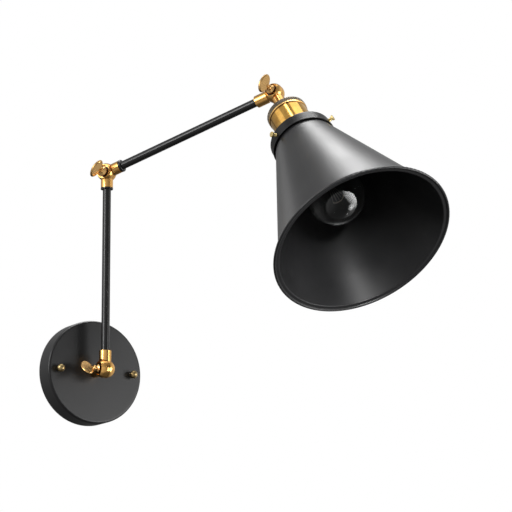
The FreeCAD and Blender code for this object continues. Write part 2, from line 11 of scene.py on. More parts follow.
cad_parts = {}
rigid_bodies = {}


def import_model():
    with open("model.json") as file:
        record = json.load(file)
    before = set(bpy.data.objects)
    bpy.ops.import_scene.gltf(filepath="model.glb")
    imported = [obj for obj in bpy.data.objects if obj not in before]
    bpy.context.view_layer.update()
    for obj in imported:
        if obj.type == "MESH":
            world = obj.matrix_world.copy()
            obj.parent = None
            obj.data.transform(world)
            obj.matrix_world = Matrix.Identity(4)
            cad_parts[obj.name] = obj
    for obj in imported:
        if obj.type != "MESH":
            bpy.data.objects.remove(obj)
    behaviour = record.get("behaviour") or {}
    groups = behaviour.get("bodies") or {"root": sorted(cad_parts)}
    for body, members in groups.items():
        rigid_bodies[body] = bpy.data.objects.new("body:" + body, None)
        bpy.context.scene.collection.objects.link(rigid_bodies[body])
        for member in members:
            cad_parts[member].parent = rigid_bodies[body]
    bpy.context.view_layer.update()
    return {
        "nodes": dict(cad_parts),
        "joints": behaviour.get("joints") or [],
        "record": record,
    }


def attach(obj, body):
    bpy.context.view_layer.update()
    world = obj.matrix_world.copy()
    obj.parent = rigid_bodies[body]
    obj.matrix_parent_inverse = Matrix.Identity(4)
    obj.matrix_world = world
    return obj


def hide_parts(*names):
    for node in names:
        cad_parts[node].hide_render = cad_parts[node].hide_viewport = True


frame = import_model()

MM = 0.001
FULL_TURN = 2 * math.pi

# Sides of large turned pieces, of rods and of screws, and the angle at which an edge is left sharp
FINE_SIDES = 128
ROD_SIDES = 64
SCREW_SIDES = 48
SHARP_ANGLE = math.radians(32)

# The shade hangs from the head joint along its own axis, and its screws point out from that axis
JOINTS = {joint["name"]: joint for joint in frame["joints"]}
HEAD = Vector(JOINTS["head_hinge"]["pos_m"])
HEAD_SIDE = Vector(JOINTS["head_hinge"]["axis"]).normalized()
SHADE_WAY = (Vector(JOINTS["shade_screw_1_turn"]["pos_m"]) - HEAD).normalized()
WALL_WAY = Vector((0, -1, 0))
WALL_SIDE = Vector((1, 0, 0))


def standing(origin, along, side):
    """The frame of a piece that is built about its own Z axis."""
    across = along.cross(side).normalized()
    axes = Matrix((across.cross(along), across, along)).transposed()
    return Matrix.Translation(origin) @ axes.to_4x4()


def measured(node, place):
    """A solid's first and last points along its axis and its greatest radius, in millimetres."""
    to_piece = place.inverted()
    corners = [to_piece @ corner.co for corner in frame["nodes"][node].data.vertices]
    heights = [corner.z for corner in corners]
    widest = max(corner.xy.length for corner in corners)
    return [round(size / MM, 2) for size in (min(heights), max(heights), widest)]


HEAD_FRAME = standing(HEAD, SHADE_WAY, HEAD_SIDE)
WALL_FRAME = standing(Vector(), WALL_WAY, WALL_SIDE)
CAP_TOP, CAP_FOOT, CAP_RADIUS = measured("lampholder_cap", HEAD_FRAME)
COLLAR_TOP, _, _ = measured("shade_collar", HEAD_FRAME)
BULB_TIP, BULB_RIM, BULB_RADIUS = measured("bulb_cap", HEAD_FRAME)
STEM_FOOT, STEM_TOP, STEM_RADIUS = measured("bulb_stem", HEAD_FRAME)


# Nodes, for the finishes, the rules of shape and the light

def fill(tree, node, inputs):
    """Fills a node's inputs with numbers or links."""
    for socket, source in inputs.items():
        if isinstance(source, bpy.types.NodeSocket):
            tree.links.new(source, node.inputs[socket])
        else:
            node.inputs[socket].default_value = source


def put(tree, kind, inputs=None, **settings):
    """Adds a node, sets its options, and fills its inputs."""
    made = tree.nodes.new(kind)
    for option, setting in settings.items():
        setattr(made, option, setting)
    fill(tree, made, inputs or {})
    return made


def reckon(tree, operation, first, second=0.0):
    """A sum with one or two numbers."""
    return put(tree, "ShaderNodeMath", {0: first, 1: second}, operation=operation).outputs[0]


def arrow(tree, operation, first, second=(0.0, 0.0, 0.0)):
    """A vector made from one or two others."""
    return put(tree, "ShaderNodeVectorMath", {0: first, 1: second}, operation=operation).outputs[0]


def extent(tree, operation, first, second=(0.0, 0.0, 0.0)):
    """A number made from one or two vectors."""
    made = put(tree, "ShaderNodeVectorMath", {0: first, 1: second}, operation=operation)
    return made.outputs["Value"]


def scaled(tree, way, size):
    """A vector made longer or shorter."""
    return put(tree, "ShaderNodeVectorMath", {0: way, "Scale": size}, operation="SCALE").outputs[0]


def spread(tree, source, low, high, start=0.0, end=1.0):
    """Carries a range of one value over to a range of another."""
    return put(tree, "ShaderNodeMapRange", {"Value": source, "From Min": start, "From Max": end,
                                            "To Min": low, "To Max": high}).outputs["Result"]


# Finishes

def begin_finish(name):
    """A new finish with its surface shader and the point on the piece."""
    finish = bpy.data.materials.new(name)
    finish.use_nodes = True
    tree = finish.node_tree
    tree.nodes.clear()
    surface = put(tree, "ShaderNodeBsdfPrincipled")
    put(tree, "ShaderNodeOutputMaterial", {"Surface": surface.outputs["BSDF"]})
    place = put(tree, "ShaderNodeTexCoord").outputs["Object"]
    return finish, tree, surface, place


def grain(tree, place, scale, detail=2.0, rough=0.5):
    """Soft random grain of a given fineness, from 0 to 1."""
    return put(tree, "ShaderNodeTexNoise", {"Vector": place, "Scale": scale, "Detail": detail,
                                            "Roughness": rough}).outputs["Fac"]


def shades(tree, source, stops):
    """Colours along a value, each given as (position, red, green, blue)."""
    ramp = put(tree, "ShaderNodeValToRGB", {"Fac": source})
    while len(ramp.color_ramp.elements) < len(stops):
        ramp.color_ramp.elements.new(1.0)
    for element, (position, red, green, blue) in zip(ramp.color_ramp.elements, stops):
        element.position = position
        element.color = (red, green, blue, 1.0)
    return ramp.outputs["Color"]


def blend_colours(tree, share, first, second):
    """Goes from the first colour to the second as the share goes from 0 to 1."""
    mix = put(tree, "ShaderNodeMix", data_type="RGBA")
    tree.links.new(share, mix.inputs[0])
    for socket, colour in ((mix.inputs[6], first), (mix.inputs[7], second)):
        if isinstance(colour, bpy.types.NodeSocket):
            tree.links.new(colour, socket)
        else:
            socket.default_value = (*colour, 1.0)
    return mix.outputs[2]


def worn_edges(tree, radius):
    """How strongly a place is an outer edge, and the normal of that edge rounded off."""
    rounded = put(tree, "ShaderNodeBevel", {"Radius": radius}, samples=6).outputs["Normal"]
    true_normal = put(tree, "ShaderNodeNewGeometry").outputs["Normal"]
    agree = extent(tree, "DOT_PRODUCT", rounded, true_normal)
    return spread(tree, agree, 1.0, 0.0, 0.75, 0.98), rounded


def bumps(tree, height, distance, strength, normal=None):
    """The normal of a surface with small bumps, over another normal if one is given."""
    inputs = {"Height": height, "Distance": distance, "Strength": strength}
    if normal is not None:
        inputs["Normal"] = normal
    return put(tree, "ShaderNodeBump", inputs).outputs["Normal"]


def along_shade(tree, place):
    """Distance along the shade's axis from the head joint, and distance from that axis, in metres."""
    arm = arrow(tree, "SUBTRACT", place, HEAD)
    along = extent(tree, "DOT_PRODUCT", arm, SHADE_WAY)
    out = arrow(tree, "SUBTRACT", arm, scaled(tree, SHADE_WAY, along))
    return along, extent(tree, "LENGTH", out)


def powder_coat(name, dark, pale, smooth, rough, edge_width, gloss=0.4):
    """Satin black powder coat: a fine orange peel, cloudy gloss, a little dust, rubbed edges."""
    finish, tree, surface, place = begin_finish(name)
    edge, rounded = worn_edges(tree, edge_width)
    cloud = grain(tree, place, 22.0, 4.0)
    peel = grain(tree, place, 1400.0, 2.0)
    dust = spread(tree, grain(tree, place, 2600.0, 1.0), 0.0, 1.0, 0.72, 0.80)
    coat = shades(tree, cloud, [(0.3, *dark), (0.75, *pale)])
    dusty = blend_colours(tree, dust, coat, (0.035, 0.034, 0.033))
    rubbed = blend_colours(tree, spread(tree, edge, 0.0, 0.35), dusty, (0.05, 0.049, 0.05))
    fill(tree, surface, {
        "Base Color": rubbed,
        "Specular IOR Level": gloss,
        "Roughness": spread(tree, cloud, smooth, rough, 0.3, 0.7),
        "Normal": bumps(tree, peel, 0.02 * MM, 0.15, rounded),
    })
    return finish


def brass(name, bright, dull, smooth, rough, tarnish, edge_width):
    """Lacquered brass with brown tarnish in soft patches, fine scratches and bright rubbed edges."""
    finish, tree, surface, place = begin_finish(name)
    edge, _ = worn_edges(tree, edge_width)
    patches = grain(tree, place, 70.0, 2.0, 0.5)
    drawn = put(tree, "ShaderNodeMapping", {"Vector": place, "Rotation": (0.6, 0.5, 0.3),
                                            "Scale": (900.0, 900.0, 90.0)}).outputs["Vector"]
    lines = grain(tree, drawn, 4.0, 3.0, 0.65)
    tarnished = spread(tree, patches, 0.0, tarnish, 0.38, 0.72)
    tone = shades(tree, tarnished, [(0.0, *bright), (1.0, *dull)])
    haze = reckon(tree, "MULTIPLY", patches, lines)
    fill(tree, surface, {
        "Base Color": blend_colours(tree, spread(tree, edge, 0.0, 0.4), tone, bright),
        "Metallic": 1.0,
        "Roughness": spread(tree, haze, smooth, rough, 0.12, 0.42),
        "Normal": bumps(tree, lines, 0.002 * MM, 0.08),
    })
    return finish


def spun_brass():
    """The lampholder's shell: polished on a lathe, with fine rings round it, a darker foot above the
    collar and a painted shadow, dark brown, just under the cap's lip."""
    finish, tree, surface, place = begin_finish("shell_brass")
    along, _ = along_shade(tree, place)
    rings = put(tree, "ShaderNodeTexNoise", {"W": along, "Scale": 9000.0, "Detail": 3.0},
                noise_dimensions="1D").outputs["Fac"]
    patches = grain(tree, place, 90.0, 4.0, 0.6)
    tone = shades(tree, patches, [(0.35, 0.79, 0.465, 0.115), (0.75, 0.48, 0.24, 0.05)])
    foot = spread(tree, along, 0.0, 0.5, (COLLAR_TOP - 7.0) * MM, (COLLAR_TOP - 1.0) * MM)
    # Painted shadow: dark brown just under the cap's lip, where the lip overhangs and shades the shell
    painted_shadow_under_lip = spread(tree, along, 0.95, 0.0, (CAP_FOOT + 0.8) * MM, (CAP_FOOT + 2.0) * MM)
    footed = blend_colours(tree, foot, tone, (0.42, 0.20, 0.05))
    fill(tree, surface, {
        "Base Color": blend_colours(tree, painted_shadow_under_lip, footed, (0.14, 0.06, 0.02)),
        "Metallic": 1.0,
        "Roughness": spread(tree, rings, 0.10, 0.18, 0.3, 0.7),
        "Normal": bumps(tree, rings, 0.002 * MM, 0.2),
    })
    return finish


def knurled_bronze():
    """Dark bronze in the grooves of the knurl, rubbed bright on its points and on the lower lip."""
    finish, tree, surface, place = begin_finish("knurled_bronze")
    along, radius = along_shade(tree, place)
    points = spread(tree, radius, 0.0, 1.0, (CAP_RADIUS - 0.55) * MM, (CAP_RADIUS - 0.05) * MM)
    lip = spread(tree, along, 0.0, 1.0, (CAP_FOOT - 1.5) * MM, (CAP_FOOT - 1.2) * MM)
    patches = grain(tree, place, 240.0, 4.0, 0.6)
    dark = shades(tree, patches, [(0.35, 0.12, 0.098, 0.082), (0.7, 0.20, 0.165, 0.13)])
    rubbed = blend_colours(tree, points, dark, (0.74, 0.64, 0.48))
    fill(tree, surface, {
        "Base Color": blend_colours(tree, lip, rubbed, (0.84, 0.52, 0.18)),
        "Metallic": 1.0,
        "Roughness": spread(tree, patches, 0.26, 0.42),
        "Normal": bumps(tree, patches, 0.02 * MM, 0.2),
    })
    return finish


def plated_steel():
    """Bright zinc plate with its pale crystals and a faint yellow cast."""
    finish, tree, surface, place = begin_finish("plated_steel")
    edge, rounded = worn_edges(tree, 0.3 * MM)
    crystals = put(tree, "ShaderNodeTexVoronoi", {"Vector": place, "Scale": 420.0}).outputs["Color"]
    crystal = put(tree, "ShaderNodeSeparateColor", {"Color": crystals}).outputs[0]
    tone = shades(tree, crystal, [(0.0, 0.58, 0.57, 0.54), (1.0, 0.72, 0.71, 0.67)])
    fill(tree, surface, {
        "Base Color": blend_colours(tree, spread(tree, edge, 0.0, 0.5), tone, (0.8, 0.8, 0.78)),
        "Metallic": 1.0,
        "Roughness": spread(tree, crystal, 0.28, 0.44),
        "Normal": bumps(tree, grain(tree, place, 1800.0), 0.02 * MM, 0.15, rounded),
    })
    return finish


def dark_steel():
    """Spring washers, near black and worn to bare metal on their edges; the near black is painted shade
    for the recesses they sit in.
    """
    finish, tree, surface, place = begin_finish("dark_steel")
    edge, _ = worn_edges(tree, 0.2 * MM)
    film = grain(tree, place, 500.0, 3.0)
    # Painted shade: the near-black tone stands in for the shadow in the knuckles' recesses
    painted_shade_tone = shades(tree, film, [(0.3, 0.030, 0.026, 0.022), (0.7, 0.060, 0.050, 0.040)])
    fill(tree, surface, {
        "Base Color": blend_colours(tree, spread(tree, edge, 0.0, 0.3), painted_shade_tone, (0.3, 0.28, 0.26)),
        "Metallic": 1.0,
        "Roughness": spread(tree, film, 0.35, 0.5),
        "Normal": bumps(tree, grain(tree, place, 2400.0), 0.01 * MM, 0.15),
    })
    return finish


def dark_insulator():
    """Moulded black insulator, slightly brown, with a dull skin."""
    finish, tree, surface, place = begin_finish("dark_insulator")
    cloud = grain(tree, place, 300.0, 4.0)
    fill(tree, surface, {
        "Base Color": shades(tree, cloud, [(0.3, 0.012, 0.010, 0.009), (0.7, 0.026, 0.021, 0.018)]),
        "Roughness": spread(tree, cloud, 0.38, 0.55),
        "Normal": bumps(tree, grain(tree, place, 2200.0), 0.03 * MM, 0.2),
    })
    return finish


def bulb_cap_metal():
    """The bulb's rolled cap: pale metal, with the dark glass that insulates its tip."""
    finish, tree, surface, place = begin_finish("cap_metal")
    along, _ = along_shade(tree, place)
    patches = grain(tree, place, 260.0, 4.0)
    metal = shades(tree, patches, [(0.3, 0.62, 0.60, 0.56), (0.7, 0.76, 0.74, 0.70)])
    past_tip = reckon(tree, "GREATER_THAN", along, (BULB_TIP + 1.3) * MM)
    past_glass = reckon(tree, "GREATER_THAN", along, (BULB_TIP + 4.1) * MM)
    past_thread = reckon(tree, "GREATER_THAN", along, (BULB_RIM - 0.8) * MM)
    dull = reckon(tree, "ADD", reckon(tree, "SUBTRACT", past_tip, past_glass), past_thread)
    fill(tree, surface, {
        "Base Color": blend_colours(tree, dull, metal, (0.02, 0.02, 0.024)),
        "Metallic": spread(tree, dull, 1.0, 0.0),
        "Roughness": spread(tree, patches, 0.22, 0.38),
        "Normal": bumps(tree, patches, 0.02 * MM, 0.15),
    })
    return finish


def clear_glass():
    """Blown clear glass with a trace of waviness and a few smears."""
    finish, tree, surface, place = begin_finish("clear_glass")
    waves = grain(tree, place, 70.0, 1.0)
    smears = grain(tree, place, 120.0, 4.0)
    fill(tree, surface, {
        "Base Color": (0.97, 0.985, 0.98, 1.0),
        "IOR": 1.47,
        "Transmission Weight": 1.0,
        "Roughness": spread(tree, smears, 0.0, 0.05, 0.5, 0.8),
        "Normal": bumps(tree, waves, 0.2 * MM, 0.05),
    })
    return finish


def filament_wire():
    """Grey drawn wire with a dull, slightly uneven skin."""
    finish, tree, surface, place = begin_finish("filament_wire")
    skin = grain(tree, place, 4000.0, 3.0)
    fill(tree, surface, {
        "Base Color": shades(tree, skin, [(0.3, 0.28, 0.25, 0.21), (0.7, 0.44, 0.40, 0.34)]),
        "Metallic": 1.0,
        "Roughness": spread(tree, skin, 0.3, 0.5),
    })
    return finish


FINISHES = {
    "black_powder_coat": powder_coat(
        "black_powder_coat", dark=(0.007, 0.007, 0.0075), pale=(0.012, 0.012, 0.0125),
        smooth=0.33, rough=0.40, edge_width=0.5 * MM),
    # Painted shade: a darker, less glossy copy of the black coat for the collar, which has the same coat
    # as the shade
    "collar_coat": powder_coat(
        "collar_coat", dark=(0.005, 0.005, 0.0055), pale=(0.009, 0.009, 0.0095),
        smooth=0.33, rough=0.40, edge_width=0.5 * MM, gloss=0.26),
    "black_tube": powder_coat(
        "black_tube", dark=(0.007, 0.007, 0.007), pale=(0.013, 0.013, 0.013),
        smooth=0.24, rough=0.28, edge_width=0.1 * MM),
    "aged_brass": brass(
        "aged_brass", bright=(0.84, 0.48, 0.15), dull=(0.56, 0.265, 0.065),
        smooth=0.19, rough=0.25, tarnish=0.4, edge_width=0.35 * MM),
    "cast_brass": brass(
        "cast_brass", bright=(0.72, 0.44, 0.17), dull=(0.50, 0.28, 0.10),
        smooth=0.18, rough=0.21, tarnish=0.5, edge_width=0.35 * MM),
    "shell_brass": spun_brass(),
    "knurled_bronze": knurled_bronze(),
    "screw_brass": brass(
        "screw_brass", bright=(0.87, 0.68, 0.30), dull=(0.62, 0.43, 0.15),
        smooth=0.20, rough=0.30, tarnish=0.5, edge_width=0.25 * MM),
    "dull_brass": brass(
        "dull_brass", bright=(0.44, 0.33, 0.155), dull=(0.20, 0.135, 0.06),
        smooth=0.26, rough=0.36, tarnish=0.8, edge_width=0.25 * MM),
    "plated_steel": plated_steel(),
    "dark_steel": dark_steel(),
    "dark_insulator": dark_insulator(),
    "cap_metal": bulb_cap_metal(),
    "clear_glass": clear_glass(),
    "filament_wire": filament_wire(),
}

# Each solid has the finish of its slot, apart from the cast thumbscrews and the collar, which gets a
# darker, less glossy copy of its black coat as painted shade
for subpart in frame["record"]["subparts"]:
    coats = frame["nodes"][subpart["node"]].data.materials
    coats.clear()
    coats.append(FINISHES[subpart["material_slot"]])
for knuckle in ("base", "elbow", "head"):
    frame["nodes"][f"{knuckle}_thumbscrew"].data.materials[0] = FINISHES["cast_brass"]
# The collar's darker copy of the black coat is painted shade
frame["nodes"]["shade_collar"].data.materials[0] = FINISHES["collar_coat"]


# Pieces that repeat or follow a rule

def turned(name, outline, sides):
    """A mesh turned about Z from (radius, height) corners in millimetres. An outline that starts off
    the axis is closed on itself, and one that starts on the axis ends on it too."""
    form = bmesh.new()
    rings = []
    for radius, height in outline:
        count = sides if radius > 0 else 1
        rim = radius * MM
        turns = [FULL_TURN * step / count for step in range(count)]
        spots = [(rim * math.cos(turn), rim * math.sin(turn), height * MM) for turn in turns]
        rings.append([form.verts.new(spot) for spot in spots])
    if outline[0][0] > 0:
        rings.append(rings[0])
    for low, high in zip(rings, rings[1:]):
        for step in range(sides):
            corners = [ring[turn % len(ring)] for ring, turn in
                       ((low, step), (low, step + 1), (high, step + 1), (high, step))]
            form.faces.new(list(dict.fromkeys(corners)))
    bmesh.ops.recalc_face_normals(form, faces=form.faces)
    mesh = bpy.data.meshes.new(name)
    form.to_mesh(mesh)
    form.free()
    mesh.shade_smooth()
    mesh.set_sharp_from_angle(angle=SHARP_ANGLE)
    return mesh


def steps(start, end, count):
    """Evenly spaced numbers from start to end."""
    return [start + (end - start) * step / count for step in range(count + 1)]


def on_circle(radius, turn):
    """The two parts of a point on a circle, at a turn in degrees."""
    return radius * math.cos(math.radians(turn)), radius * math.sin(math.radians(turn))


def rounded_corner(radius, height, size, first, last):
    """Corners of an outline round an arc, from one angle to another."""
    offsets = [on_circle(size, turn) for turn in steps(first, last, 6)]
    return [(radius + out, height + up) for out, up in offsets]


def straight_side(radius, start, end, count):
    """Many corners up a straight side, which a thread is then cut into."""
    return [(radius, height) for height in steps(start, end, count)]


def path_mesh(points):
    """A line of edges through points in millimetres."""
    mesh = bpy.data.meshes.new("path")
    places = [[part * MM for part in point] for point in points]
    mesh.from_pydata(places, [(step, step + 1) for step in range(len(points) - 1)], [])
    return mesh


def joined(name, meshes, finish):
    """Several meshes as one mesh with one finish."""
    whole = bmesh.new()
    for mesh in meshes:
        whole.from_mesh(mesh)
    result = bpy.data.meshes.new(name)
    whole.to_mesh(result)
    whole.free()
    result.materials.append(finish)
    return result


def begin_rule(name, sizes):
    """A geometry tree with its named inputs, given as {label: kind of socket}."""
    rule = bpy.data.node_groups.new(name, "GeometryNodeTree")
    rule.interface.new_socket("Geometry", in_out="INPUT", socket_type="NodeSocketGeometry")
    for label, kind in sizes.items():
        rule.interface.new_socket(label, in_out="INPUT", socket_type=f"NodeSocket{kind}")
    rule.interface.new_socket("Geometry", in_out="OUTPUT", socket_type="NodeSocketGeometry")
    return rule, put(rule, "NodeGroupInput").outputs


def end_rule(rule, shape, finish):
    """Ends a geometry tree with real geometry that has its finish."""
    whole = put(rule, "GeometryNodeRealizeInstances", {"Geometry": shape}).outputs[0]
    coated = put(rule, "GeometryNodeSetMaterial", {"Geometry": whole, "Material": finish}).outputs[0]
    put(rule, "NodeGroupOutput", {"Geometry": coated})
    return rule


def shaped(mesh, rule, **sizes):
    """Runs a geometry tree on a mesh and gives back the plain mesh that comes out."""
    blank = bpy.data.objects.new(mesh.name, mesh)
    bpy.context.scene.collection.objects.link(blank)
    step = blank.modifiers.new(rule.name, "NODES")
    step.node_group = rule
    for socket in rule.interface.items_tree:
        label = socket.name.lower().replace(" ", "_")
        if socket.in_out == "INPUT" and label in sizes:
            step[socket.identifier] = sizes[label]
    graph = bpy.context.evaluated_depsgraph_get()
    result = bpy.data.meshes.new_from_object(blank.evaluated_get(graph), depsgraph=graph)
    blank.modifiers.clear()
    bpy.data.objects.remove(blank)
    result.materials.clear()
    result.materials.append(sizes["finish"])
    return result


def add_piece(name, mesh, place, body, slot, *stands_for):
    """Puts a finished mesh in its place on a body, where it stands for the plain solids."""
    mesh.name = name
    mesh.transform(place)
    piece = bpy.data.objects.new(name, mesh)
    bpy.context.scene.collection.objects.link(piece)
    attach(piece, body)
    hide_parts(*stands_for)


def knurl_rule():
    """Rows of four sided teeth round a turned piece, every other row set half a tooth round."""
    rule, given = begin_rule("knurl", {
        "Radius": "Float", "Start": "Float", "Row Step": "Float", "Rows": "Int", "Columns": "Int",
        "Tooth Height": "Float", "Finish": "Material"})
    index = put(rule, "GeometryNodeInputIndex").outputs[0]
    column = reckon(rule, "MODULO", index, given["Columns"])
    row = reckon(rule, "FLOOR", reckon(rule, "DIVIDE", index, given["Columns"]))
    shift = reckon(rule, "MULTIPLY", reckon(rule, "MODULO", row, 2.0), 0.5)
    tooth_turn = reckon(rule, "DIVIDE", FULL_TURN, given["Columns"])
    turn = reckon(rule, "MULTIPLY", reckon(rule, "ADD", column, shift), tooth_turn)
    rise = reckon(rule, "MULTIPLY", reckon(rule, "ADD", row, 0.5), given["Row Step"])
    place = put(rule, "ShaderNodeCombineXYZ", {
        "X": reckon(rule, "MULTIPLY", given["Radius"], reckon(rule, "COSINE", turn)),
        "Y": reckon(rule, "MULTIPLY", given["Radius"], reckon(rule, "SINE", turn)),
        "Z": reckon(rule, "ADD", given["Start"], rise)}).outputs[0]
    tooth_width = reckon(rule, "MULTIPLY", tooth_turn, given["Radius"])
    size = put(rule, "ShaderNodeCombineXYZ", {
        "X": given["Row Step"], "Y": reckon(rule, "MULTIPLY", tooth_width, 0.5),
        "Z": given["Tooth Height"]}).outputs[0]
    facing = put(rule, "ShaderNodeCombineXYZ", {"Y": math.pi / 2, "Z": turn}).outputs[0]
    tooth = put(rule, "GeometryNodeMeshCone", {
        "Vertices": 4, "Radius Top": 0.0, "Radius Bottom": 1.0, "Depth": 1.0}).outputs["Mesh"]
    count = reckon(rule, "MULTIPLY", given["Rows"], given["Columns"])
    spots = put(rule, "GeometryNodePoints", {"Count": count, "Position": place}).outputs[0]
    teeth = put(rule, "GeometryNodeInstanceOnPoints", {
        "Points": spots, "Instance": tooth, "Rotation": facing, "Scale": size}).outputs[0]
    both = put(rule, "GeometryNodeJoinGeometry", {"Geometry": given["Geometry"]})
    rule.links.new(teeth, both.inputs["Geometry"])
    return end_rule(rule, both.outputs[0], given["Finish"])


def thread_rule():
    """A rolled thread: the outside of a turned piece sinks in a helix between two heights."""
    rule, given = begin_rule("rolled_thread", {
        "Radius": "Float", "Pitch": "Float", "Depth": "Float", "Start": "Float", "End": "Float",
        "Finish": "Material"})
    position = put(rule, "GeometryNodeInputPosition").outputs[0]
    spot = put(rule, "ShaderNodeSeparateXYZ", {0: position}).outputs
    turn = reckon(rule, "DIVIDE", reckon(rule, "ARCTAN2", spot["Y"], spot["X"]), FULL_TURN)
    lead = reckon(rule, "SUBTRACT", reckon(rule, "DIVIDE", spot["Z"], given["Pitch"]), turn)
    wave = reckon(rule, "COSINE", reckon(rule, "MULTIPLY", lead, FULL_TURN))
    groove = spread(rule, wave, 1.0, 0.0, -1.0, 1.0)
    full_start = reckon(rule, "ADD", given["Start"], given["Pitch"])
    full_end = reckon(rule, "SUBTRACT", given["End"], given["Pitch"])
    run_in = spread(rule, spot["Z"], 0.0, 1.0, given["Start"], full_start)
    run_out = spread(rule, spot["Z"], 1.0, 0.0, full_end, given["End"])
    flat = put(rule, "ShaderNodeCombineXYZ", {"X": spot["X"], "Y": spot["Y"]}).outputs[0]
    nearly_out = reckon(rule, "MULTIPLY", given["Radius"], 0.99)
    outside = reckon(rule, "GREATER_THAN", extent(rule, "LENGTH", flat), nearly_out)
    share = reckon(rule, "MULTIPLY", reckon(rule, "MULTIPLY", run_in, run_out), outside)
    depth = reckon(rule, "MULTIPLY", reckon(rule, "MULTIPLY", groove, given["Depth"]), share)
    sunk = scaled(rule, arrow(rule, "NORMALIZE", flat), reckon(rule, "MULTIPLY", depth, -1.0))
    cut = put(rule, "GeometryNodeSetPosition", {"Geometry": given["Geometry"], "Offset": sunk})
    return end_rule(rule, cut.outputs[0], given["Finish"])


def coil_rule():
    """A wire wound round a path in an even coil; with no turns it is a plain wire along the path."""
    rule, given = begin_rule("wound_wire", {
        "Turns": "Float", "Coil Radius": "Float", "Wire Radius": "Float", "Points": "Int",
        "Finish": "Material"})
    path = put(rule, "GeometryNodeMeshToCurve", {"Mesh": given["Geometry"]}).outputs[0]
    smooth = put(rule, "GeometryNodeResampleCurve", {"Curve": path, "Count": given["Points"]}).outputs[0]
    along = put(rule, "GeometryNodeSplineParameter").outputs["Factor"]
    turn = reckon(rule, "MULTIPLY", reckon(rule, "MULTIPLY", along, given["Turns"]), FULL_TURN)
    normal = put(rule, "GeometryNodeInputNormal").outputs[0]
    tangent = put(rule, "GeometryNodeInputTangent").outputs[0]
    across = arrow(rule, "CROSS_PRODUCT", tangent, normal)
    lift = scaled(rule, normal, reckon(rule, "COSINE", turn))
    swing = scaled(rule, across, reckon(rule, "SINE", turn))
    offset = scaled(rule, arrow(rule, "ADD", lift, swing), given["Coil Radius"])
    wound = put(rule, "GeometryNodeSetPosition", {"Geometry": smooth, "Offset": offset}).outputs[0]
    section = put(rule, "GeometryNodeCurvePrimitiveCircle", {
        "Resolution": 6, "Radius": given["Wire Radius"]}).outputs[0]
    wire = put(rule, "GeometryNodeCurveToMesh", {
        "Curve": wound, "Profile Curve": section, "Fill Caps": True}).outputs[0]
    return end_rule(rule, wire, given["Finish"])


KNURL = knurl_rule()
THREAD = thread_rule()
COIL = coil_rule()


def knurled_cap():
    """The lampholder's cap, with a diamond knurled band above a bright plain lip."""
    bore = 4.05
    plate = CAP_TOP + 1.5
    corner = 1.0
    band = CAP_RADIUS - 0.65
    inside = band - 0.4
    lip = CAP_RADIUS - 0.5
    lip_top = CAP_FOOT - 1.3
    bevel = 0.2
    outline = [(bore, CAP_TOP)] + rounded_corner(band - corner, CAP_TOP + corner, corner, -90, 0)
    outline += [(band, lip_top), (lip, lip_top), (lip, CAP_FOOT - bevel), (lip - bevel, CAP_FOOT)]
    outline += [(inside, CAP_FOOT), (inside, plate), (bore, plate)]
    cap = shaped(turned("knurled_cap", outline, FINE_SIDES), KNURL, radius=(band - 0.01) * MM,
                 start=(CAP_TOP + corner) * MM, row_step=0.78 * MM, rows=6, columns=64,
                 tooth_height=0.62 * MM, finish=FINISHES["knurled_bronze"])
    add_piece("knurled_cap", cap, HEAD_FRAME, "shade_head", "knurled_bronze", "lampholder_cap")


def clamp_screws():
    """Three small screws in the shade's collar, each with a thread and a finely knurled head."""
    shank = 1.75
    head = 2.55
    head_height = 1.8
    for number in (1, 2, 3):
        joint = JOINTS[f"shade_screw_{number}_turn"]
        place = standing(Vector(joint["pos_m"]), Vector(joint["axis"]).normalized(), SHADE_WAY)
        tip, top, _ = measured(f"shade_screw_{number}", place)
        seat = top - head_height
        thread_end = seat - 0.2
        outline = [(0, tip), (shank - 0.3, tip)] + straight_side(shank, tip + 0.3, thread_end, 48)
        outline += [(shank, seat), (head - 0.15, seat), (head, seat + 0.15)]
        outline += [(head, top - 0.2), (head - 0.25, top), (0, top)]
        screw = shaped(turned("clamp_screw", outline, SCREW_SIDES), THREAD, radius=shank * MM,
                       pitch=0.7 * MM, depth=0.28 * MM, start=(tip + 0.25) * MM, end=thread_end * MM,
                       finish=FINISHES["screw_brass"])
        screw = shaped(screw, KNURL, radius=(head - 0.01) * MM, start=(seat + 0.52) * MM,
                       row_step=0.7 * MM, rows=1, columns=26, tooth_height=0.15 * MM,
                       finish=FINISHES["screw_brass"])
        add_piece(f"clamp_screw_{number}", screw, place, f"shade_clamp_{number}", "screw_brass",
                  f"shade_screw_{number}")


def ball_screws():
    """The two threaded screws of the canopy, with ball heads on narrow feet."""
    tip, top, reach = measured("canopy_screws", WALL_FRAME)
    shank = 2.0
    chamfer = 0.4
    ball = 3.9
    foot = 2.2
    seat = 20.0
    foot_top = seat + 1.4
    thread_start = tip + chamfer
    thread_end = seat - chamfer
    aside = (reach - ball) * MM
    head = [on_circle(ball, turn) for turn in steps(34.3, 172, 22)]
    outline = [(0, tip), (shank - chamfer, tip)] + straight_side(shank, thread_start, thread_end, 170)
    outline += [(shank, seat), (foot, seat), (foot, foot_top)]
    outline += [(out, top - ball - down) for down, out in head] + [(0, top)]
    screw = shaped(turned("ball_screw", outline, SCREW_SIDES), THREAD, radius=shank * MM,
                   pitch=0.7 * MM, depth=0.3 * MM, start=thread_start * MM, end=thread_end * MM,
                   finish=FINISHES["dull_brass"])
    pair = [screw.copy(), screw.copy()]
    pair[0].transform(Matrix.Translation((-aside, 0, 0)))
    pair[1].transform(Matrix.Translation((aside, 0, 0)))
    both = joined("ball_screws", pair, FINISHES["dull_brass"])
    add_piece("ball_screws", both, WALL_FRAME, "wall_plate", "screw_brass", "canopy_screws")


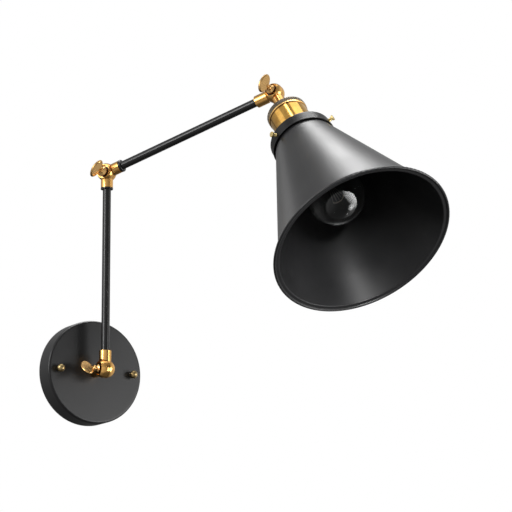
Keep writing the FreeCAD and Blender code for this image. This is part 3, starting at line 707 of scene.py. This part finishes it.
def threaded_nipple():
    """The hollow threaded rod behind the canopy that the wires come through."""
    back, front, radius = measured("base_nipple", WALL_FRAME)
    bore = 2.7
    chamfer = 0.4
    bevel = 0.2
    outline = [(bore, front), (bore, back + bevel), (bore + bevel, back), (radius - chamfer, back)]
    outline += straight_side(radius, back + chamfer, front - chamfer, 124) + [(radius - chamfer, front)]
    nipple = shaped(turned("threaded_nipple", outline, ROD_SIDES), THREAD, radius=radius * MM,
                    pitch=1.0 * MM, depth=0.45 * MM, start=(back + 0.1) * MM, end=(front - 0.2) * MM,
                    finish=FINISHES["plated_steel"])
    add_piece("threaded_nipple", nipple, WALL_FRAME, "wall_plate", "plated_steel", "base_nipple")


def bulb_screw_cap():
    """The bulb's cap: a contact at its tip, a rolled thread and a plain rim."""
    contact = 4.8
    inside = BULB_RADIUS - 1.3
    floor = BULB_RIM - 0.6
    bevel = 0.3
    thread_start = BULB_TIP + 4.2
    thread_end = BULB_RIM - 2.3
    outline = [(0, BULB_TIP), (contact - 0.6, BULB_TIP), (contact, BULB_TIP + 0.4)]
    outline += [(contact, BULB_TIP + 1.2), (BULB_RADIUS - 0.4, BULB_TIP + 3.9)]
    outline += straight_side(BULB_RADIUS, thread_start, thread_end, 132)
    outline += [(BULB_RADIUS, BULB_RIM - bevel), (BULB_RADIUS - bevel, BULB_RIM)]
    outline += [(inside, BULB_RIM), (inside, floor), (0, floor)]
    cap = shaped(turned("bulb_screw_cap", outline, FINE_SIDES), THREAD, radius=BULB_RADIUS * MM,
                 pitch=3.63 * MM, depth=0.95 * MM, start=thread_start * MM, end=thread_end * MM,
                 finish=FINISHES["cap_metal"])
    add_piece("bulb_screw_cap", cap, HEAD_FRAME, "shade_head", "cap_metal", "bulb_cap")


def bulb_flared_stem():
    """The bulb's glass stem, which flares out to its foot."""
    post = 2.4
    flare = STEM_RADIUS - post
    fall = 2.4
    tip = 1.5
    outline = [(0, STEM_FOOT)]
    for rise in steps(0.0, 14.5, 28):
        outline.append((post + flare * math.exp(-rise / fall), STEM_FOOT + rise))
    outline += [(post, STEM_TOP - 7.5), (post - 0.3, STEM_TOP - 3.5)]
    outline += rounded_corner(0.0, STEM_TOP - tip, tip, 15, 84) + [(0, STEM_TOP)]
    stem = turned("bulb_flared_stem", outline, ROD_SIDES)
    stem.materials.append(FINISHES["clear_glass"])
    add_piece("bulb_flared_stem", stem, HEAD_FRAME, "shade_head", "clear_glass", "bulb_stem")


def coiled_filament():
    """A coil of fine wire in an arc, held by five leads that fan out from the stem."""
    finish = FINISHES["filament_wire"]
    reach = 6.0
    level = STEM_TOP + 20.0
    first, last = 110, 250
    wires = []
    for turn in (first, 150, 180, 210, last):
        foot = (*on_circle(0.1 * reach, turn), STEM_TOP - 0.9)
        knee = (*on_circle(0.25 * reach, turn), STEM_TOP + 2.5)
        end = (*on_circle(reach, turn), level)
        wires.append(shaped(path_mesh([foot, knee, end]), COIL, turns=0.0, coil_radius=0.0,
                            wire_radius=0.16 * MM, points=16, finish=finish))
    arc = [(*on_circle(reach, turn), level) for turn in steps(first, last, 24)]
    wires.append(shaped(path_mesh(arc), COIL, turns=46.0, coil_radius=0.42 * MM,
                        wire_radius=0.1 * MM, points=560, finish=finish))
    filament = joined("coiled_filament", wires, finish)
    add_piece("coiled_filament", filament, HEAD_FRAME, "shade_head", "filament_wire", "bulb_filament")


knurled_cap()
clamp_screws()
ball_screws()
threaded_nipple()
bulb_screw_cap()
bulb_flared_stem()
coiled_filament()


# Light, floor and camera

# Soft boxes: name, turn and tilt in degrees, distance, width and height in metres, power in watts,
# and the pieces that each is kept to
SOFT_BOXES = [
    ("top_soft_box", 120, 81, 2.2, 1.4, 1.4, 74, "dark"),
    ("top_screen", 120, 81, 2.2, 1.4, 1.4, 10, "brass"),
    ("strip_light", -80, 69, 2.0, 0.8, 0.2, 4, "brass"),
    ("low_screen", -31, -25, 2.2, 3.0, 3.0, 11, "brass"),
    ("left_soft_box", -85, 16, 2.0, 0.6, 1.0, 17, "all"),
    ("left_screen", -98, 24, 2.2, 2.2, 1.5, 7, "all"),
    ("right_soft_box", 40, -12, 2.0, 1.0, 1.4, 29, "solid"),
    ("bulb_soft_box", 50, 2, 2.0, 6.0, 3.0, 120, "glass"),
    ("bulb_screen", 56, -36, 2.0, 1.0, 0.8, 4.5, "glass"),
    ("shade_strip", -12, 13.4, 1.7, 0.10, 0.6, 34, "shade"),
    ("wall_screen", -155, 5, 2.0, 1.2, 2.0, 14, "shade"),
]
LIGHT_AIM = Vector((0.05, -0.15, 0.12))
FLOOR_HALF = 40.0
FLOOR_LEVEL = -1.5
CAMERA_TURN = -31.427
CAMERA_TILT = -12.269
CAMERA_ROLL = -0.24
CAMERA_PLACE = (-1.009266, -1.968918, -0.362653)


def seen_from(turn, tilt):
    """A direction from the lamp: turn from straight in front of the wall, tilt above the horizon."""
    out, up = on_circle(1.0, tilt)
    forward, aside = on_circle(out, turn)
    return Vector((aside, -forward, up))


def pieces_of(name, *kinds):
    """The pieces of brass, of glass or of dark stuff, as a group that a light is kept to."""
    group = bpy.data.collections.new(name)
    for piece in bpy.context.scene.objects:
        if piece.type == "MESH" and piece.data.materials:
            coat = piece.data.materials[0].name
            kind = next((kind for kind in ("brass", "glass") if kind in coat), "dark")
            if kind in kinds:
                group.objects.link(piece)
    return group


def soft_box(name, turn, tilt, distance, width, height, power, lit):
    """Hangs a soft box that faces the lamp, kept to a group of pieces if there is one."""
    lamp = bpy.data.lights.new(name, "AREA")
    lamp.shape = "RECTANGLE"
    lamp.size = width
    lamp.size_y = height
    lamp.energy = power
    way = seen_from(turn, tilt)
    holder = bpy.data.objects.new(name, lamp)
    holder.location = LIGHT_AIM + way * distance
    holder.rotation_euler = way.to_track_quat("Z", "Y").to_euler()
    holder.light_linking.receiver_collection = lit
    bpy.context.scene.collection.objects.link(holder)
    return lamp


def fade_out(lamp):
    """Makes a soft box round, brightest in its middle and dark at its edge."""
    lamp.shape = "ELLIPSE"
    lamp.use_nodes = True
    tree = lamp.node_tree
    tree.nodes.clear()
    across = put(tree, "ShaderNodeNewGeometry").outputs["Parametric"]
    from_middle = extent(tree, "DISTANCE", across, (0.5, 0.5, 0.0))
    strength = spread(tree, from_middle, 3.0, 0.0, 0.0, 0.5)
    glow = put(tree, "ShaderNodeEmission", {"Strength": strength})
    put(tree, "ShaderNodeOutputLight", {"Surface": glow.outputs["Emission"]})


def studio_lights():
    """Hangs all the soft boxes. Those of the glass fade out to their edges."""
    groups = {
        "all": None,
        "brass": pieces_of("brass_pieces", "brass"),
        "dark": pieces_of("dark_pieces", "dark"),
        "solid": pieces_of("solid_pieces", "brass", "dark"),
        "glass": pieces_of("glass_pieces", "glass"),
        "shade": bpy.data.collections.new("shade_alone"),
    }
    groups["shade"].objects.link(frame["nodes"]["shade"])
    for *place_and_power, kind in SOFT_BOXES:
        lamp = soft_box(*place_and_power, groups[kind])
        if kind == "glass":
            fade_out(lamp)


def white_room():
    """A room that is brighter overhead and at both sides, and plain white to the camera."""
    world = bpy.data.worlds.new("white_studio")
    world.use_nodes = True
    tree = world.node_tree
    tree.nodes.clear()
    way = put(tree, "ShaderNodeTexCoord").outputs["Generated"]
    sky = put(tree, "ShaderNodeSeparateXYZ", {"Vector": way}).outputs
    overhead = spread(tree, sky["Z"], 0.10, 0.34, -0.2, 0.25)
    left = spread(tree, sky["X"], 0.28, 0.0, -0.8, -0.1)
    right = spread(tree, sky["X"], 0.0, 0.45, 0.5, 0.8)
    room = reckon(tree, "ADD", overhead, reckon(tree, "ADD", left, right))
    seen = put(tree, "ShaderNodeLightPath").outputs["Is Camera Ray"]
    strength = reckon(tree, "MAXIMUM", seen, room)
    air = put(tree, "ShaderNodeBackground", {"Color": (1.0, 1.0, 1.0, 1.0), "Strength": strength})
    put(tree, "ShaderNodeOutputWorld", {"Surface": air.outputs["Background"]})
    bpy.context.scene.world = world
    bpy.context.scene.view_settings.view_transform = "Standard"


def pale_floor():
    """A wide pale floor far below the lamp, which takes no part in its light."""
    corners = [(-FLOOR_HALF, -FLOOR_HALF, FLOOR_LEVEL), (FLOOR_HALF, -FLOOR_HALF, FLOOR_LEVEL),
               (FLOOR_HALF, FLOOR_HALF, FLOOR_LEVEL), (-FLOOR_HALF, FLOOR_HALF, FLOOR_LEVEL)]
    floor = bpy.data.meshes.new("floor")
    floor.from_pydata(corners, [], [(0, 1, 2, 3)])
    paint, tree, surface, place = begin_finish("pale_floor")
    cloud = grain(tree, place, 3.0, 3.0)
    fill(tree, surface, {
        "Base Color": shades(tree, cloud, [(0.3, 0.80, 0.80, 0.79), (0.7, 0.84, 0.84, 0.83)]),
        "Roughness": 0.7,
        "Emission Color": (1.0, 1.0, 1.0, 1.0),
        "Emission Strength": 0.5,
    })
    floor.materials.append(paint)
    ground = bpy.data.objects.new("floor", floor)
    bpy.context.scene.collection.objects.link(ground)
    ground.visible_shadow = False
    ground.visible_diffuse = False
    ground.visible_glossy = False
    ground.visible_transmission = False


def camera():
    """The photo's view: from the left and below, with a long lens."""
    back = seen_from(CAMERA_TURN, CAMERA_TILT)
    right = Vector((*on_circle(1.0, CAMERA_TURN), 0))
    level = Matrix((right, back.cross(right), back)).transposed().to_4x4()
    roll = Matrix.Rotation(math.radians(CAMERA_ROLL), 4, "Z")
    lens = bpy.data.cameras.new("camera")
    lens.sensor_width = 36.0
    lens.lens = 162.0
    lens.clip_end = 200.0
    eye = bpy.data.objects.new("camera", lens)
    eye.matrix_world = Matrix.Translation(CAMERA_PLACE) @ level @ roll
    bpy.context.scene.collection.objects.link(eye)
    bpy.context.scene.camera = eye


studio_lights()
white_room()
pale_floor()
camera()
